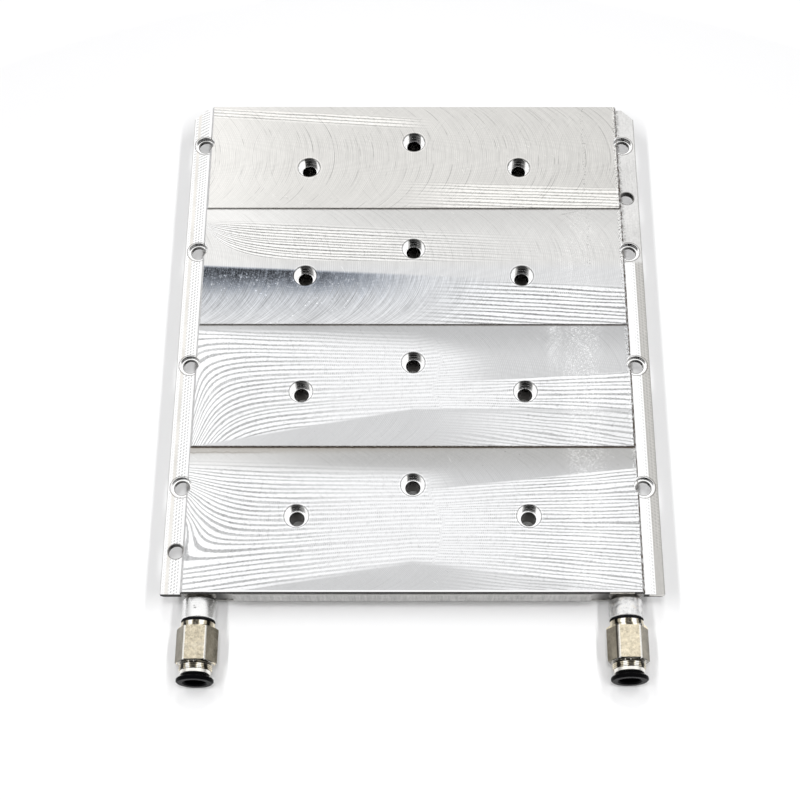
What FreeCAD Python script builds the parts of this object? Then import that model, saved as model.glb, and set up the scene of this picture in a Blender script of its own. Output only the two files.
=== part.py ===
import FreeCAD, Part
import math, os

os.makedirs("parts", exist_ok=True)
V = FreeCAD.Vector

# ---------------------------------------------------------------------------
# Liquid cooling cold plate: a machined aluminium block with side flanges, a
# brazed bottom cover, two round port stubs and two 8 mm push-in fittings.
# Frame: X across the plate, -Y towards the ports (front), +Z up.
# Origin: centre of the flat underside.
# ---------------------------------------------------------------------------

# plate
length = 222.0            # front to back
flange_width = 192.0      # over both side flanges
raised_width = 176.4      # raised field at its foot
thickness = 18.0          # underside to the highest line of the raised field
flange_top = 15.0
flange_bottom = 12.0
corner_cut = 5.0          # 45 degree cuts on the two back flange corners
flange_bevel = 1.0        # bevel along the lower outer flange edges
lower_width = 174.8       # block below the flanges
cover_thick = 3.0         # bottom cover
edge_slope = 1.1          # 45 degree slope along the sides of the raised field

yf = -length / 2.0        # front edge of the raised field
yb = length / 2.0         # back edge

# the raised field is faced in four passes across the plate; every pass leans a
# little, so it ends in a small step down to the back of the next one
step_1 = yf + 170.0
step_2 = yf + 114.4
step_3 = yf + 60.1
lean = (0.35, 0.50, 0.50, 0.70)   # drop at the back edge of passes 1..4

# front face: the block stands proud under the faced field, with a pocket
# milled round each port stub
front_proud = 0.65
lip_half = 68.4
lip_top = 15.9
lip_bottom = 8.0
pocket_depth = 1.9

# holes
row_pitch = 53.2
row_first = yf + 203.4            # centre hole of the back row
row_stagger = 13.0                # outer holes sit this much further forward
column_x = 45.0
hole_r = 3.0
cbore_r = 4.7
cbore_depth = 4.0
flange_hole_x = 90.5
flange_cbore_r = 4.2
flange_cbore_depth = 1.2
extra_hole_x = 91.0
extra_left_y = yf + 17.2
extra_right_y = yf + 176.6

# coolant channel, milled from below and closed by the cover
channel_top = 12.0
channel_w = 14.0
leg_x = (-78.0, -61.0, -31.0, -13.6, 13.6, 31.0, 61.0, 78.0)
channel_front = yf + 8.5
channel_back = yb - 6.0

# ports
port_x = 81.7
port_z = 8.0
stub_r = 6.5
stub_end = {"left": yf - 8.4, "right": yf - 7.7}
spigot_r = 4.4
spigot_len = 3.0
shoulder_r = 4.7                  # each stub is turned down in a cone where it meets the wall
shoulder_len = 2.6
waterway_r = 2.9
thread_r = 9.728 / 2.0            # G1/8
thread_len = 6.5

# push-in fitting for 8 mm tube, distances along the fitting from the stub end
hex_af = 14.0
collar_r = 6.4
seal_gap = 0.95                   # squeezed thread seal
hex_start = 3.0
hex_end = 17.0
nose_r = 6.3
nose_end = 19.6
chamber_r = 5.6
tube_r = 4.0
tube_stop = 5.5
chamber_start = 9.0
holder_head_r = 5.85
holder_end = 21.1
sleeve_gap = 1.3                  # neck showing between holder and rim
rim_r = 7.1
rim_thick = 1.7
travel = 1.1                      # how far the release sleeve can be pushed


def box(x0, x1, y0, y1, z0, z1):
    return Part.makeBox(x1 - x0, y1 - y0, z1 - z0, V(x0, y0, z0))


def zcyl(x, y, z0, z1, r):
    return Part.makeCylinder(r, z1 - z0, V(x, y, z0), V(0, 0, 1))


def ycyl(x, z, y0, y1, r):
    """Cylinder along Y from y0 to y1 (y0 < y1)."""
    return Part.makeCylinder(r, y1 - y0, V(x, y0, z), V(0, 1, 0))


def prism(points, vec):
    wire = Part.makePolygon([V(*p) for p in points] + [V(*points[0])])
    return Part.Face(wire).extrude(V(*vec))


def save(shape, name):
    shape = shape.removeSplitter()
    solids = shape.Solids
    assert solids and shape.isValid(), name
    out = solids[0] if len(solids) == 1 else Part.makeCompound(solids)
    out.exportStep("parts/%s.step" % name)
    bb = out.BoundBox
    print("%-26s solids %d vol %.1f  x %.2f..%.2f y %.2f..%.2f z %.2f..%.2f" % (
        name, len(solids), out.Volume, bb.XMin, bb.XMax, bb.YMin, bb.YMax, bb.ZMin, bb.ZMax))
    return out


rows = [row_first - k * row_pitch for k in range(4)]
top_holes = []
for y in rows:
    top_holes += [(0.0, y), (-column_x, y - row_stagger), (column_x, y - row_stagger)]

# ---------------------------------------------------------------- plate body
hf = flange_width / 2.0
hr = raised_width / 2.0
hl = lower_width / 2.0

flange = prism([(-hf, yf, flange_bottom), (hf, yf, flange_bottom),
                (hf, yb - corner_cut, flange_bottom), (hf - corner_cut, yb, flange_bottom),
                (-hf + corner_cut, yb, flange_bottom), (-hf, yb - corner_cut, flange_bottom)],
               (0, 0, flange_top - flange_bottom))
for s in (-1, 1):
    bevel = prism([(s * (hf + 1), yf - 1, flange_bottom - 1),
                   (s * (hf + 1), yf - 1, flange_bottom + flange_bevel + 1),
                   (s * (hf - flange_bevel - 1), yf - 1, flange_bottom - 1)],
                  (0, length + 2, 0))
    flange = flange.cut(bevel)

block = box(-hl, hl, yf + pocket_depth, yb, cover_thick, flange_top)

# raised field: side profile (Y,Z) crossed with front profile (X,Z)
z = thickness
side = [(yf, flange_top), (yf, z), (step_3, z - lean[3]), (step_3, z),
        (step_2, z - lean[2]), (step_2, z), (step_1, z - lean[1]), (step_1, z),
        (yb, z - lean[0]), (yb, flange_top)]
raised = prism([(-hr, y, zz) for y, zz in side], (2 * hr, 0, 0))
profile = prism([(-hr, yf - 1, flange_top), (hr, yf - 1, flange_top),
                 (hr, yf - 1, thickness - edge_slope), (hr - edge_slope, yf - 1, thickness),
                 (hr - edge_slope - 1, yf - 1, thickness + 1),
                 (-hr + edge_slope + 1, yf - 1, thickness + 1),
                 (-hr + edge_slope, yf - 1, thickness), (-hr, yf - 1, thickness - edge_slope)],
                (0, length + 2, 0))
raised = raised.common(profile)

body = block.fuse([flange, raised])
# the front under the raised field is cut back to the pocket floor, then the
# proud front face between the pockets is put back
body = body.cut(box(-hr, hr, yf - 1, yf + pocket_depth, flange_bottom - 1, thickness - 2.3))
lip = box(-lip_half, lip_half, yf - front_proud, yf + pocket_depth, lip_bottom, lip_top)
lip = lip.makeChamfer(0.35, [e for e in lip.Edges
                             if abs(e.BoundBox.YMax - (yf - front_proud)) < 1e-6
                             and e.BoundBox.XLength > 10])
body = body.fuse(lip)

# holes in the raised field
for x, y in top_holes:
    body = body.cut(zcyl(x, y, cover_thick - 1, thickness + 1, hole_r))
    body = body.cut(zcyl(x, y, thickness - cbore_depth, thickness + 1, cbore_r))

# flange holes, spot faced into the side of the raised field
for s in (-1, 1):
    for y in rows:
        body = body.cut(zcyl(s * flange_hole_x, y, flange_bottom - 1, flange_top + 4, hole_r))
        body = body.cut(zcyl(s * flange_hole_x, y, flange_top - flange_cbore_depth,
                             thickness + 1, flange_cbore_r))
for x, y in ((-extra_hole_x, extra_left_y), (extra_hole_x, extra_right_y)):
    body = body.cut(zcyl(x, y, flange_bottom - 1, flange_top, hole_r))

# coolant channel: eight legs joined alternately at the back and the front
r = channel_w / 2.0
chan = None
for i, x in enumerate(leg_x):
    leg = box(x - r, x + r, channel_front + r, channel_back - r, cover_thick - 1, channel_top)
    leg = leg.fuse([zcyl(x, channel_front + r, cover_thick - 1, channel_top, r),
                    zcyl(x, channel_back - r, cover_thick - 1, channel_top, r)])
    chan = leg if chan is None else chan.fuse(leg)
for i in range(7):
    yc = channel_back - r if i % 2 == 0 else channel_front + r
    chan = chan.fuse(box(leg_x[i], leg_x[i + 1], yc - r, yc + r, cover_thick - 1, channel_top))
body = body.cut(chan)

# port bores in the front wall
for s in (-1, 1):
    body = body.cut(ycyl(s * port_x, port_z, yf + pocket_depth - 1,
                         yf + pocket_depth + spigot_len, spigot_r))
    body = body.cut(ycyl(s * port_x, port_z, yf, channel_front + r, waterway_r))
plate_body = save(body, "plate_body")

# -------------------------------------------------------------- bottom cover
cover = box(-hl, hl, yf + pocket_depth, yb, 0, cover_thick)
low = [e for e in cover.Edges if e.BoundBox.ZMax < 1e-6]
cover = cover.makeChamfer(0.5, low)
for x, y in top_holes:
    cover = cover.cut(zcyl(x, y, -1, cover_thick + 1, hole_r))
save(cover, "bottom_cover")

# ------------------------------------------------------------------ fittings
for name, s in (("left", -1), ("right", 1)):
    x = s * port_x
    y0 = stub_end[name]

    def tube(r_out, r_in, a, b):
        """Ring along the fitting, a..b measured out from the stub end."""
        t = ycyl(x, port_z, y0 - b, y0 - a, r_out)
        if r_in > 0:
            t = t.cut(ycyl(x, port_z, y0 - b - 1, y0 - a + 1, r_in))
        return t

    def revolve(points):
        """Ring from (distance, radius) points, turned about the fitting axis."""
        pts = [(x + rr, y0 - d, port_z) for d, rr in points]
        face = Part.Face(Part.makePolygon([V(*p) for p in pts] + [V(*pts[0])]))
        return face.revolve(V(x, 0, port_z), V(0, 1, 0), 360)

    # port stub: spigot let into the front wall, tapped mouth
    wall = y0 - (yf + pocket_depth)
    stub = revolve([(0.0, thread_r + 0.4), (0.0, stub_r - 0.25), (-0.25, stub_r),
                    (wall + shoulder_len, stub_r), (wall, shoulder_r),
                    (wall, spigot_r), (wall - spigot_len, spigot_r),
                    (wall - spigot_len, waterway_r), (-thread_len - 0.8, waterway_r),
                    (-thread_len - 0.8, thread_r), (-0.4, thread_r)])
    save(stub, name + "_port_stub")

    # rubber seal squeezed between the stub and the fitting collar
    save(revolve([(0.0, thread_r), (0.0, stub_r - 0.45), (0.2, stub_r - 0.1),
                  (seal_gap / 2, stub_r), (seal_gap - 0.2, stub_r - 0.1),
                  (seal_gap, stub_r - 0.45), (seal_gap, thread_r)]),
         name + "_thread_seal")

    # fitting body: thread, collar, hexagon and nose in one turned piece
    turned = revolve([(-thread_len, waterway_r), (-thread_len, thread_r - 0.6),
                      (-thread_len + 0.6, thread_r), (seal_gap, thread_r),
                      (seal_gap, collar_r - 0.3), (seal_gap + 0.3, collar_r),
                      (hex_start, collar_r), (hex_start, nose_r - 0.6),
                      (hex_end, nose_r - 0.6), (hex_end, nose_r - 0.45),
                      (hex_end + 0.55, nose_r - 0.45), (hex_end + 0.75, nose_r),
                      (nose_end - 0.3, nose_r), (nose_end, nose_r - 0.3),
                      (nose_end, chamber_r), (chamber_start, chamber_r),
                      (chamber_start, tube_r + 0.05), (tube_stop, tube_r + 0.05),
                      (tube_stop, waterway_r)])
    ac = hex_af / 2.0 / math.cos(math.radians(30))
    hexagon = prism([(x + ac * math.cos(math.radians(60 * i)), y0 - hex_end,
                      port_z + ac * math.sin(math.radians(60 * i))) for i in range(6)],
                    (0, hex_end - hex_start, 0))
    ease = math.tan(math.radians(30))
    bevelled = revolve([(hex_start, 0.0), (hex_start, hex_af / 2.0 - 0.1),
                        (hex_start + (ac - hex_af / 2.0 + 0.3) * ease, ac + 0.2),
                        (hex_end - (ac - hex_af / 2.0 + 0.3) * ease, ac + 0.2),
                        (hex_end, hex_af / 2.0 - 0.1), (hex_end, 0.0)])
    hexagon = hexagon.common(bevelled)
    bore = ycyl(x, port_z, y0 - hex_end - 1, y0 - chamber_start, chamber_r)
    bore = bore.fuse(ycyl(x, port_z, y0 - chamber_start - 1, y0 - tube_stop, tube_r + 0.05))
    bore = bore.fuse(ycyl(x, port_z, y0 - tube_stop - 1, y0 - hex_start + 1, waterway_r))
    save(turned.fuse(hexagon.cut(bore)), name + "_fitting_body")

    # inside the chamber, from the bottom up
    c = chamber_start
    save(revolve([(c, tube_r + 0.1), (c, chamber_r), (c + 2.6, chamber_r),
                  (c + 2.6, chamber_r - 0.5), (c + 1.5, chamber_r - 0.8),
                  (c + 2.6, tube_r + 0.5), (c + 2.6, tube_r + 0.25), (c + 1.2, tube_r + 0.08)]),
         name + "_tube_seal")
    save(tube(chamber_r, tube_r + 0.1, c + 2.6, c + 3.4), name + "_seal_spacer")

    # stainless gripping ring: a dished washer with eight teeth
    grip = revolve([(c + 3.4, chamber_r), (c + 3.7, chamber_r), (c + 4.15, tube_r + 0.15),
                    (c + 3.85, tube_r + 0.15)])
    for i in range(8):
        a = math.radians(45 * i + 22.5)
        cutter = box(-0.3, 0.3, y0 - c - 5, y0 - c - 3, 3.0, chamber_r - 0.6)
        cutter.rotate(V(0, 0, 0), V(0, 1, 0), math.degrees(a))
        cutter.translate(V(x, 0, port_z))
        grip = grip.cut(cutter)
    save(grip, name + "_grip_ring")

    # brass holder ring pressed into the nose, its head showing
    h0 = c + 5.9
    save(revolve([(h0, tube_r + 0.85), (h0, chamber_r), (nose_end, chamber_r),
                  (nose_end, holder_head_r - 0.15), (nose_end + 0.15, holder_head_r),
                  (holder_end - 0.2, holder_head_r), (holder_end, holder_head_r - 0.2),
                  (holder_end, tube_r + 1.3), (holder_end - 1.3, tube_r + 1.3),
                  (holder_end - 1.5, tube_r + 0.85)]),
         name + "_holder_ring")

    # plastic release sleeve: barb behind the holder, neck, rim
    rim0 = holder_end + sleeve_gap
    rim1 = rim0 + rim_thick
    s0 = h0 - 0.6
    save(revolve([(s0, tube_r + 0.15), (s0, tube_r + 0.6), (h0 - 0.3, tube_r + 1.2),
                  (h0 - 0.05, tube_r + 1.2), (h0 - 0.05, tube_r + 0.8),
                  (holder_end - 0.15, tube_r + 0.8), (holder_end - 0.05, tube_r + 1.2),
                  (rim0 - 0.15, tube_r + 1.2), (rim0, tube_r + 1.45), (rim0, rim_r - 0.45),
                  (rim0 + 0.45, rim_r), (rim1 - 0.45, rim_r), (rim1, rim_r - 0.5),
                  (rim1, tube_r + 0.75), (rim1 - 0.6, tube_r + 0.15)]),
         name + "_release_sleeve")
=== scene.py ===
import bpy
import bmesh
import math
from mathutils import Matrix, Vector


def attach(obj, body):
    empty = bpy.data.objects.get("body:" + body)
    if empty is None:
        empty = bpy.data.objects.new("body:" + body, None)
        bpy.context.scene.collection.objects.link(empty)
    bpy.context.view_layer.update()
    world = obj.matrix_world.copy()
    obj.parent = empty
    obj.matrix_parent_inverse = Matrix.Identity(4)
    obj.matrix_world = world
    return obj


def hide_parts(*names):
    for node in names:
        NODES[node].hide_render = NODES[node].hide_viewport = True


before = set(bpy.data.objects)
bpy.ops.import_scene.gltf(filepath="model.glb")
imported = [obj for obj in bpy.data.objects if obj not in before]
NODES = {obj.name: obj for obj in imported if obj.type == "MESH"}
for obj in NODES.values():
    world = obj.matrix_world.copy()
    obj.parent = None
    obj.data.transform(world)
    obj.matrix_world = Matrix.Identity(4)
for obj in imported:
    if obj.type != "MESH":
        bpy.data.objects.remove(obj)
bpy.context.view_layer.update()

MM = 0.001

# ---------------------------------------------------------------- camera
e, yaw, roll = math.radians(65.0), math.radians(0.19), math.radians(0.18)
look = Vector((5.31, -31.64, 18.0)) * MM
fwd = Vector((math.sin(yaw) * math.cos(e), math.cos(yaw) * math.cos(e), -math.sin(e)))
right = Vector((math.cos(yaw), -math.sin(yaw), 0.0))
up = right.cross(fwd)
r2 = right * math.cos(roll) + up * math.sin(roll)
u2 = -right * math.sin(roll) + up * math.cos(roll)
pos = look - fwd * 624.95 * MM
cam_data = bpy.data.cameras.new("camera")
cam = bpy.data.objects.new("camera", cam_data)
bpy.context.scene.collection.objects.link(cam)
m = Matrix.Identity(4)
for i in range(3):
    m[i][0], m[i][1], m[i][2], m[i][3] = r2[i], u2[i], -fwd[i], pos[i]
cam.matrix_world = m
cam_data.sensor_width = 36.0
cam_data.sensor_fit = "HORIZONTAL"
cam_data.lens = 1564.41 / 800.0 * 36.0
cam_data.shift_x = (400.0 - 426.39) / 800.0
cam_data.shift_y = (401.68 - 400.0) / 800.0
cam_data.clip_start = 0.01
cam_data.clip_end = 20.0
bpy.context.scene.camera = cam
bpy.context.scene.view_settings.view_transform = "Standard"
bpy.context.scene.view_settings.look = "None"


# ---------------------------------------------------------------- node maths
class S:
    """A socket, or a number, with arithmetic that makes Math nodes."""
    tree = None

    def __init__(self, v):
        self.v = v

    def __add__(self, o): return op("ADD", self, o)
    def __radd__(self, o): return op("ADD", o, self)
    def __sub__(self, o): return op("SUBTRACT", self, o)
    def __rsub__(self, o): return op("SUBTRACT", o, self)
    def __mul__(self, o): return op("MULTIPLY", self, o)
    def __rmul__(self, o): return op("MULTIPLY", o, self)
    def __truediv__(self, o): return op("DIVIDE", self, o)
    def __rtruediv__(self, o): return op("DIVIDE", o, self)
    def __neg__(self): return op("MULTIPLY", self, -1.0)


def raw(v):
    return v.v if isinstance(v, S) else v


def put(sock, v):
    v = raw(v)
    if isinstance(v, bpy.types.NodeSocket):
        S.tree.links.new(v, sock)
    elif isinstance(v, (tuple, list)) and len(v) == 3 and len(sock.default_value) == 4:
        sock.default_value = (*v, 1.0)
    else:
        sock.default_value = v


def op(kind, a, b=None, c=None, clamp=False):
    n = S.tree.nodes.new("ShaderNodeMath")
    n.operation = kind
    n.use_clamp = clamp
    put(n.inputs[0], a)
    if b is not None:
        put(n.inputs[1], b)
    if c is not None:
        put(n.inputs[2], c)
    return S(n.outputs[0])


def sin(a): return op("SINE", a)
def cos(a): return op("COSINE", a)
def sqrt(a): return op("SQRT", a)
def absv(a): return op("ABSOLUTE", a)
def frac(a): return op("FRACT", a)
def vmin(a, b): return op("MINIMUM", a, b)
def vmax(a, b): return op("MAXIMUM", a, b)
def power(a, b): return op("POWER", a, b)
def clamp01(a): return op("ADD", a, 0.0, clamp=True)
def expo(a): return op("EXPONENT", a)
def inv(a): return 1.0 - a


def step(a, lo, hi):
    """Smooth step: 0 below lo, 1 above hi (lo may be above hi)."""
    n = S.tree.nodes.new("ShaderNodeMapRange")
    n.interpolation_type = "SMOOTHSTEP"
    put(n.inputs["Value"], a)
    if lo < hi:
        n.inputs["From Min"].default_value = lo
        n.inputs["From Max"].default_value = hi
        n.inputs["To Min"].default_value = 0.0
        n.inputs["To Max"].default_value = 1.0
    else:
        n.inputs["From Min"].default_value = hi
        n.inputs["From Max"].default_value = lo
        n.inputs["To Min"].default_value = 1.0
        n.inputs["To Max"].default_value = 0.0
    return S(n.outputs["Result"])


def vec(x, y, z=0.0):
    n = S.tree.nodes.new("ShaderNodeCombineXYZ")
    put(n.inputs[0], x)
    put(n.inputs[1], y)
    put(n.inputs[2], z)
    return S(n.outputs[0])


def noise(p, scale, detail=2.0, rough=0.5, dist=0.0):
    n = S.tree.nodes.new("ShaderNodeTexNoise")
    put(n.inputs["Vector"], p)
    n.inputs["Scale"].default_value = scale
    n.inputs["Detail"].default_value = detail
    n.inputs["Roughness"].default_value = rough
    n.inputs["Distortion"].default_value = dist
    return S(n.outputs[0])


def voronoi(p, scale, feature="F1", rand=1.0):
    n = S.tree.nodes.new("ShaderNodeTexVoronoi")
    n.feature = feature
    put(n.inputs["Vector"], p)
    n.inputs["Scale"].default_value = scale
    n.inputs["Randomness"].default_value = rand
    return S(n.outputs["Distance"])


def marks(w_, scale):
    """Distance, in scaled units, to the nearest of points spread unevenly along a line."""
    n = S.tree.nodes.new("ShaderNodeTexVoronoi")
    n.voronoi_dimensions = "1D"
    put(n.inputs["W"], w_)
    n.inputs["Scale"].default_value = scale
    return S(n.outputs["Distance"])


def mixf(f, a, b):
    """a where f is 0, b where f is 1."""
    return a + (b - a) * f if isinstance(a, S) or isinstance(b, S) else (S(a) + (b - a) * f)


def mixc(f, a, b):
    n = S.tree.nodes.new("ShaderNodeMix")
    n.data_type = "RGBA"
    n.clamp_factor = True
    put(n.inputs[0], f)
    put(n.inputs[6], a)
    put(n.inputs[7], b)
    return S(n.outputs[2])


def grey(v, tint=(1.0, 1.0, 1.0)):
    n = S.tree.nodes.new("ShaderNodeCombineColor")
    put(n.inputs[0], v * tint[0] if tint[0] != 1.0 else v)
    put(n.inputs[1], v * tint[1] if tint[1] != 1.0 else v)
    put(n.inputs[2], v * tint[2] if tint[2] != 1.0 else v)
    return S(n.outputs[0])


def start(name):
    mat = bpy.data.materials.new(name)
    mat.use_nodes = True
    S.tree = mat.node_tree
    S.tree.nodes.clear()
    out = S.tree.nodes.new("ShaderNodeOutputMaterial")
    bsdf = S.tree.nodes.new("ShaderNodeBsdfPrincipled")
    S.tree.links.new(bsdf.outputs[0], out.inputs[0])
    tc = S.tree.nodes.new("ShaderNodeTexCoord")
    sc = S.tree.nodes.new("ShaderNodeVectorMath")
    sc.operation = "SCALE"
    S.tree.links.new(tc.outputs["Object"], sc.inputs[0])
    sc.inputs["Scale"].default_value = 1000.0
    sep = S.tree.nodes.new("ShaderNodeSeparateXYZ")
    S.tree.links.new(sc.outputs[0], sep.inputs[0])
    nrm = S.tree.nodes.new("ShaderNodeSeparateXYZ")
    S.tree.links.new(tc.outputs["Normal"], nrm.inputs[0])
    return (mat, bsdf, S(sc.outputs[0]), S(sep.outputs[0]), S(sep.outputs[1]), S(sep.outputs[2]),
            S(nrm.outputs[0]), S(nrm.outputs[1]), S(nrm.outputs[2]))


def bump(height, distance, strength=1.0, normal=None):
    """height in units of distance (mm); returns a normal."""
    n = S.tree.nodes.new("ShaderNodeBump")
    n.inputs["Strength"].default_value = strength
    n.inputs["Distance"].default_value = distance * MM
    put(n.inputs["Height"], height)
    if normal is not None:
        put(n.inputs["Normal"], normal)
    return S(n.outputs[0])


def bevel(radius):
    n = S.tree.nodes.new("ShaderNodeBevel")
    n.samples = 4
    n.inputs["Radius"].default_value = radius * MM
    return S(n.outputs[0])


def ridge(p, width):
    """1 on the lines where phase p is whole, soft over width (share of the period)."""
    return step(absv(frac(p) - 0.5), 0.5 - width, 0.5)


def tri(p):
    """Smooth wave 0..1 with period 1."""
    return sin(p * (2 * math.pi)) * 0.5 + 0.5


# ---------------------------------------------------------------- plate material
STEPS = (59.0, 3.4, -50.9)
MID = (85.0, 31.2, -23.75, -80.95)
R_CUT = 31.5
SKY = 1.12      # brightness that a level bright face reflects


def plate_material():
    mat, bsdf, P, x, y, z, nx, ny, nz = start("machined_aluminium")
    ax = absv(x)
    level = step(nz, 0.90, 0.97)
    top = step(z, 16.85, 16.95) * level
    flange = step(z, 15.6, 15.4) * step(z, 14.4, 14.6) * level
    b1 = step(y, STEPS[0] - 0.02, STEPS[0] + 0.02)
    b12 = step(y, STEPS[1] - 0.02, STEPS[1] + 0.02)
    b123 = step(y, STEPS[2] - 0.02, STEPS[2] + 0.02)
    b2 = b12 - b1
    b3 = b123 - b12
    b4 = inv(b123)
    v = y - (b1 * MID[0] + b2 * MID[1] + b3 * MID[2] + b4 * MID[3])
    w = 0.5 - v / (b1 * 52.0 + b2 * 55.6 + b3 * 54.3 + b4 * 60.1)   # 0 at a pass's back edge, 1 at its front edge
    u = x / 87.0
    ul = u + 1.0
    un = vmin(u, 0.0)
    up_ = vmax(u, 0.0)

    wob = noise(vec(x * 0.02, y * 0.05, 3.0), 1.0, 3.0) - 0.5
    soft = noise(vec(x * 0.035, y * 0.06, 11.0), 1.0, 3.0) - 0.5
    fine = noise(vec(x, y, 7.0), 1.5, 4.0, 0.65) - 0.5
    speck = noise(vec(x, y, 17.0), 3.2, 2.0, 0.6)

    # ---- cutter arcs, leading and trailing
    g = sqrt(vmax(R_CUT * R_CUT - v * v, 1.0))
    a1 = x - g + wob * 0.35
    a2 = x + g + wob * 0.35
    arc1 = tri(a1 / 0.78)
    arc2 = tri(a2 / 0.84)
    n1 = noise(vec(a1, v * 0.02, 1.0), 0.55, 5.0, 0.72) - 0.5
    n2 = noise(vec(a2, v * 0.02, 9.0), 0.50, 5.0, 0.72) - 0.5
    hatch = arc1 * arc2 - 0.25
    nf1 = noise(vec(a1, v * 0.05, 2.0), 1.9, 3.0, 0.65) - 0.5
    nf2 = noise(vec(a2, v * 0.06, 6.0), 1.9, 3.0, 0.65) - 0.5
    # single bite marks: thin arcs at uneven places, each seen along part of its length
    bite_m = noise(vec(x * 0.04, y * 0.10, 23.0), 1.0, 3.0, 0.6)
    bite_k = noise(vec(x * 0.05, y * 0.07, 43.0), 1.0, 3.0, 0.6)
    bite = step(marks(a1 + v * 0.01, 0.13), 0.030, 0.008) * step(bite_m, 0.44, 0.60) \
        + step(marks(a1 + 3.0, 0.42), 0.075, 0.02) * step(bite_k, 0.50, 0.62) * 0.55 \
        + step(marks(a2 + 1.0, 0.10), 0.020, 0.006) * step(bite_m, 0.56, 0.44) * 0.35

    # ---- streaks: a phase and a mask for each pass
    near = expo(ul * -9.0)
    q1a = (w - 0.05 - ul * 0.115) * 34.0
    m1a = step(w - ul * 0.10, 0.00, 0.03) * step(w - ul * 0.112, 0.125, 0.085) * step(u, 0.12, -0.15)
    q1b = (w - 0.70 - u * 0.06) * 33.0
    m1b = step(w - u * 0.07, 0.72, 0.78) * step(u, -0.15, 0.35)
    fan2 = 1.0 - expo(ul * -8.0)
    top2 = 0.13 + ul * 0.085
    low2 = 0.19 + fan2 * 0.26 + ul * 0.012
    q2a = (w - top2) / (low2 - top2) * (12.0 - ul * 2.2)
    m2a = step(w - top2, -0.05, 0.02) * step(w - low2, 0.012, -0.006) * step(u, 0.75, -0.5)
    q2b = (w - 0.66 - u * 0.09) * 31.0
    m2b = step(w - u * 0.06, 0.60, 0.66) * step(u + w * 0.4, 0.30, 0.75)
    bump3 = step(w, 0.02, 1.0) * 1.3
    q3 = (w - near * bump3 * 0.27 + (w * 0.34 - 0.13) * un * 0.8 + (0.42 - w * 0.6) * up_ * 0.62 + ul * 0.01) * 35.0
    low3 = vmax(1.0 - ul * 0.30, 0.70) + wob * 0.01            # the lower limit of the main streaks
    m3a = step(w - low3, 0.015, -0.01) * step(w, 0.03, 0.07)
    m3top = step(w - (0.13 + up_ * 0.42 + un * 0.14), -0.10, 0.12)
    m3up = step(w - (0.50 - u * 0.10), -0.01, 0.012)   # sharp upper limit on the right
    m3a = m3a * mixf(step(u, 0.15, 0.45), m3top, m3up)
    m3b = step(w - low3, 0.0, 0.05) * step(u, 0.0, 0.50)
    d4 = step(w, 0.10, 0.40) * step(w, 0.85, 0.5) * 0.20
    q4 = (w + near * d4 + (w * 0.26 - 0.07) * un + (0.13 - w * 0.22) * up_) * 38.0
    m4t = step(w - (0.10 + up_ * 0.0 + ul * 0.055), -0.03, 0.10)
    m4up = step(w - (0.315 - u * 0.165), -0.008, 0.010)
    m4a = mixf(step(u, -0.02, 0.25), m4t, m4up)
    m4lo = step(w + un * 0.27 - 0.79 - up_ * 0.20 + wob * 0.02, 0.03, -0.02)
    m4a = m4a * m4lo
    m4b = step(w, 0.72, 0.84) * step(u, 0.05, 0.45) * 0.8

    right = step(u + wob * 0.25, 0.10, 0.115)
    q3 = mixf(right, q3, (w + (0.42 - w * 0.72) * up_ * 0.62) * 47.0 + noise(vec(x * 0.02, w * 7.0, 91.0), 1.0, 2.0) * 2.0)
    q4 = mixf(right, q4, (w + (0.16 - w * 0.30) * up_) * 52.0 + noise(vec(x * 0.02, w * 7.0, 95.0), 1.0, 2.0) * 2.0)
    q = b1 * mixf(step(w, 0.45, 0.55), q1a, q1b) + b2 * mixf(step(w, 0.55, 0.60), q2a, q2b) + b3 * q3 + b4 * q4
    area = clamp01(b1 * (m1a + m1b) + b2 * (m2a + m2b) + b3 * (m3a + m3b * 0.75)
                   + b4 * (m4a + m4b * 0.7 * inv(m4a)))
    qq = q + wob * 0.5 + fine * 0.30 + noise(vec(q * 0.35, x * 0.015, 4.0), 1.0, 2.0) * 1.6
    lean_ = noise(vec(q * 0.8, x * 0.010, 14.0), 1.0, 2.0)
    wave = tri(qq)
    edge_w = 0.72 - lean_ * 0.25 + nf1 * 0.25
    thin = step(wave - edge_w, 0.0, 0.22)
    broad = step(wave + nf1 * 0.5, 0.30, 0.62)
    mid_ = b1 * 0.35 + b2 * 0.40 + b3 * (0.30 + step(absv(u), 0.75, 0.25) * 0.35) + b4 * (0.25 + step(absv(u + 0.05), 0.8, 0.3) * 0.50)
    kind = clamp01(step(lean_ + mid_ - 0.5, 0.34, 0.56))
    line = mixf(kind, thin * 0.85, broad * (0.50 + hatch * 0.6) + thin * 0.12)
    line = line * (0.72 + noise(vec(x * 0.05, q * 0.7, 34.0), 1.0, 3.0, 0.6) * 0.5 + nf1 * 1.1 + fine * 1.0)
    calm = (b3 + b4) * step(absv(u + 0.02), 0.62, 0.18) * step(absv(w - 0.5), 0.50, 0.30)
    line = line * (1.0 - calm * 0.50) * (1.0 + b2 * 0.3)
    # short dashes between the lines
    dash = noise(vec(q * 2.6, x * 0.55, 44.0), 1.0, 3.0, 0.7)
    rough_g = step(dash, 0.52, 0.66) * (0.17 - calm * 0.11) + step(noise(vec(a1 * 0.9, v * 0.45, 54.0), 1.6, 2.0, 0.6), 0.55, 0.70) * 0.10

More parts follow.
